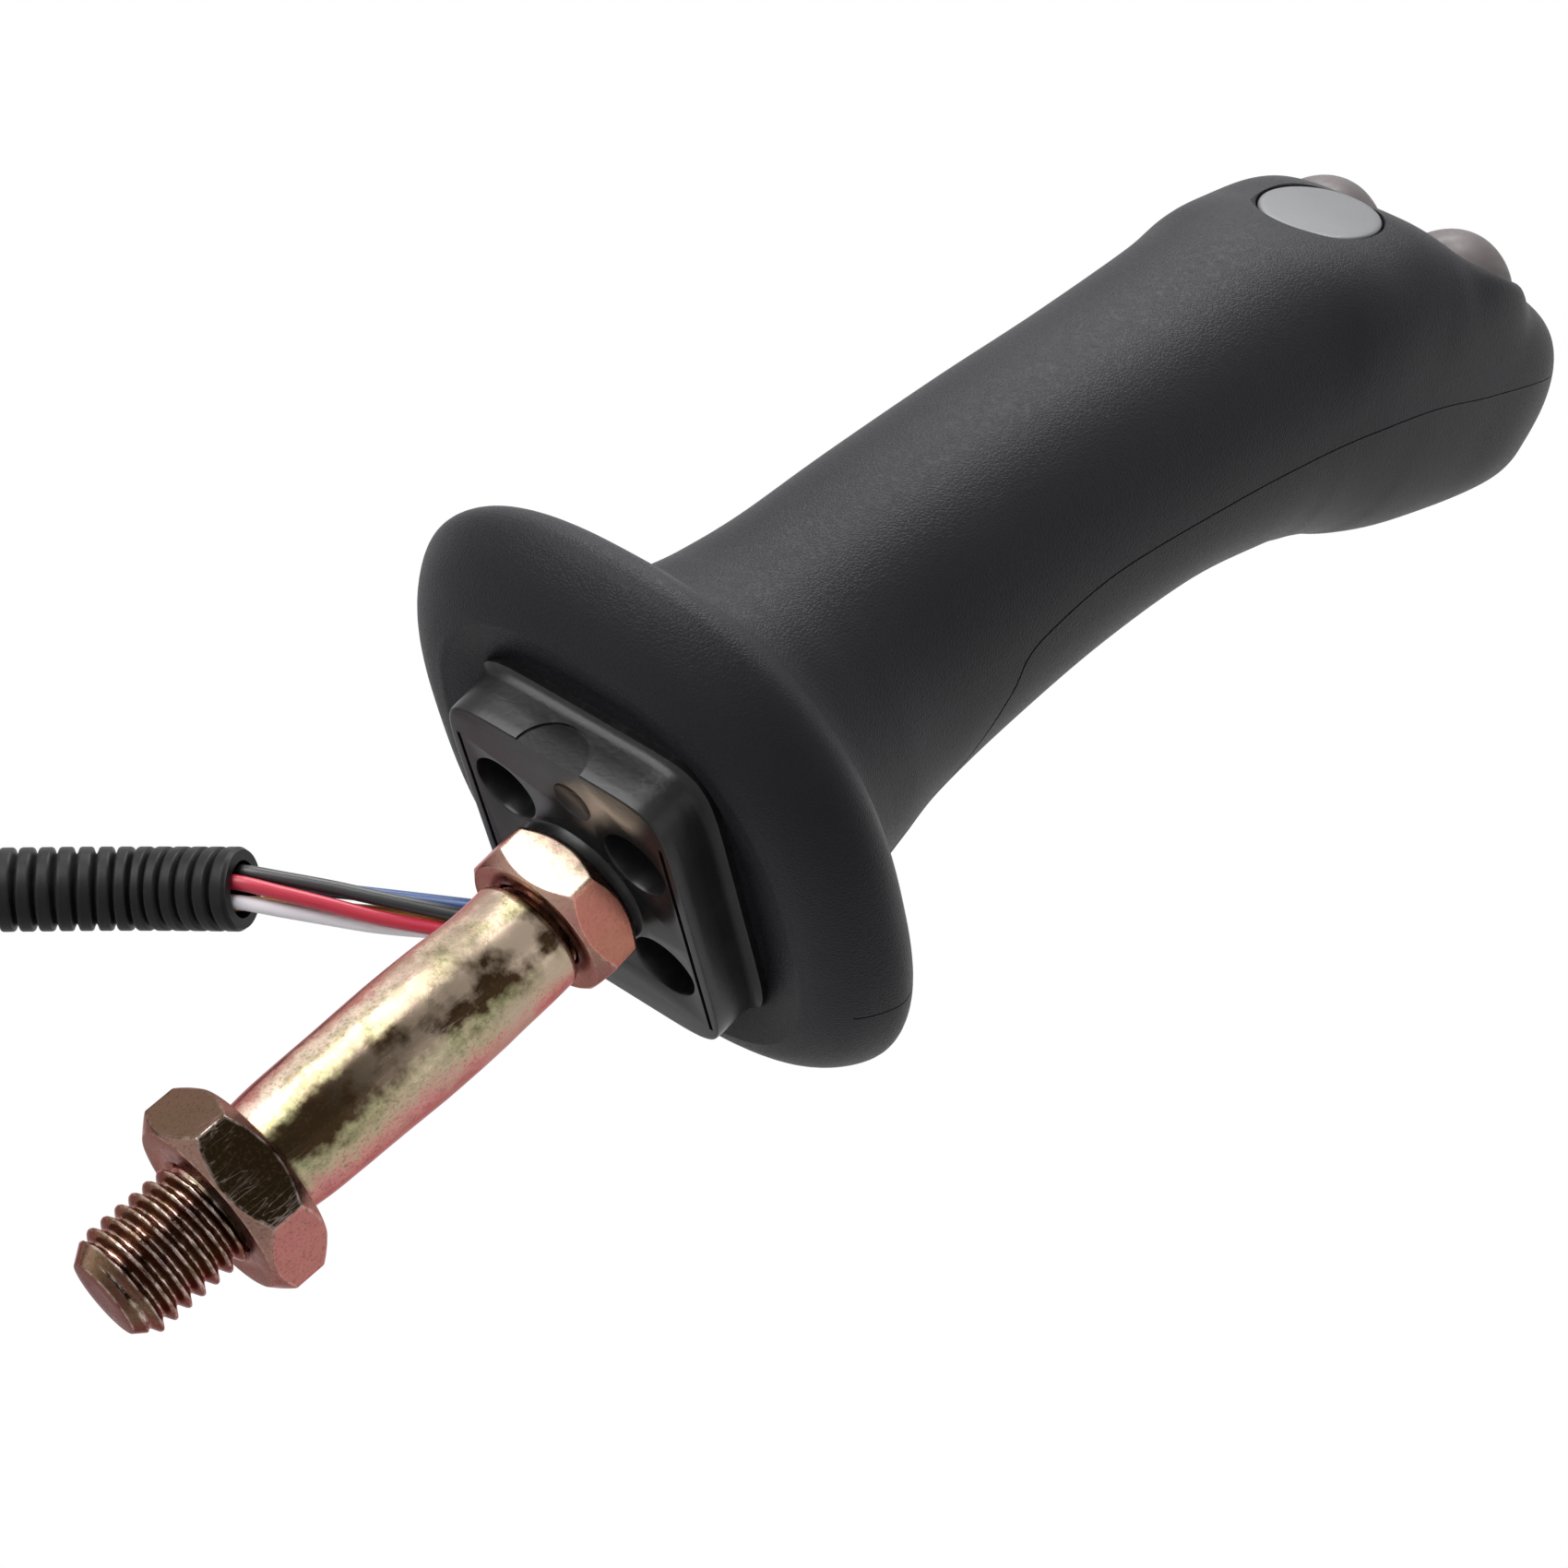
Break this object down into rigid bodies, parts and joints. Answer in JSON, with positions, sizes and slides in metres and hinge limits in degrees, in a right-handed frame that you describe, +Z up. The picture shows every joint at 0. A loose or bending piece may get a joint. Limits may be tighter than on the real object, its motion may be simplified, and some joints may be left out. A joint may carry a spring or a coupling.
{
  "type": "industrial joystick grip",
  "caption": "Pistol-style grip for a machine control lever: push buttons, hand flange, base plate, bent steel stem with a threaded stud and lock nuts, and a wire harness with a plug.",
  "frame": {"origin": "on the threaded stud's axis, in the middle of its free thread below the lock nut", "axes": "+Z up the grip, square to the base plate; +X sideways; +Y towards the fingers, so the thumb and the buttons are on the -Y side"},
  "size_m": [0.1543, 0.1157, 0.4787],
  "materials": {
    "grip_black": "fine leather grain, satin",
    "plate_black": "smooth gloss moulding",
    "passivated_steel": "yellow passivated zinc, iridescent",
    "insert_brass": "machined",
    "thumb_grey": "satin",
    "dome_smoke": "smoky, satin",
    "plunger_red": "smooth",
    "spring_steel": "drawn wire",
    "screw_steel": "zinc plated",
    "switch_black": "moulded",
    "carrier_grey": "moulded",
    "rubber_black": "matte",
    "sleeve_black": "shrunk sleeve",
    "wire_blue": "extruded insulation",
    "wire_red": "extruded insulation",
    "wire_black": "extruded insulation",
    "wire_white": "extruded insulation",
    "wire_yellow": "extruded insulation",
    "conduit_black": "corrugated, satin",
    "seal_orange": "matte",
    "connector_black": "moulded",
    "contact_tin": "tin plated"
  },
  "bodies": {
    "grip": {"grip_body": "grip_black", "finger_cover": "grip_black", "mounting_plate": "plate_black", "threaded_insert": "insert_brass", "stem": "passivated_steel", "upper_nut": "passivated_steel", "lower_nut": "passivated_steel", "thumb_spring": "spring_steel", "thumb_switch": "switch_black", "left_spring": "spring_steel", "left_switch": "switch_black", "right_spring": "spring_steel", "right_switch": "switch_black", "switch_carrier": "carrier_grey", "carrier_screws": "screw_steel", "cover_screws": "screw_steel", "plate_screws": "screw_steel", "cable_grommet": "rubber_black", "inner_loom": "sleeve_black", "wire_blue": "wire_blue", "wire_red": "wire_red", "wire_black": "wire_black", "wire_white": "wire_white", "wire_yellow": "wire_yellow", "conduit": "conduit_black", "conduit_sleeve": "sleeve_black", "connector_seal": "seal_orange", "connector_housing": "connector_black", "connector_latch": "connector_black", "connector_contacts": "contact_tin"},
    "thumb_cap": {"thumb_button": "thumb_grey", "thumb_plunger": "plunger_red"},
    "left_cap": {"left_button": "dome_smoke", "left_plunger": "plunger_red"},
    "right_cap": {"right_button": "dome_smoke", "right_plunger": "plunger_red"}
  },
  "joints": [
    {"name": "thumb_press", "type": "slide", "parent": "grip", "child": "thumb_cap", "axis": [0, -0.91, 0.4147], "range_m": [-0.002, 0], "stiffness_N_per_m": 600, "springref_m": 0.003, "deforming": ["thumb_spring"]},
    {"name": "left_press", "type": "slide", "parent": "grip", "child": "left_cap", "axis": [0, -0.6428, 0.766], "range_m": [-0.002, 0], "stiffness_N_per_m": 600, "springref_m": 0.003, "deforming": ["left_spring"]},
    {"name": "right_press", "type": "slide", "parent": "grip", "child": "right_cap", "axis": [0, -0.6428, 0.766], "range_m": [-0.002, 0], "stiffness_N_per_m": 600, "springref_m": 0.003, "deforming": ["right_spring"]}
  ]
}
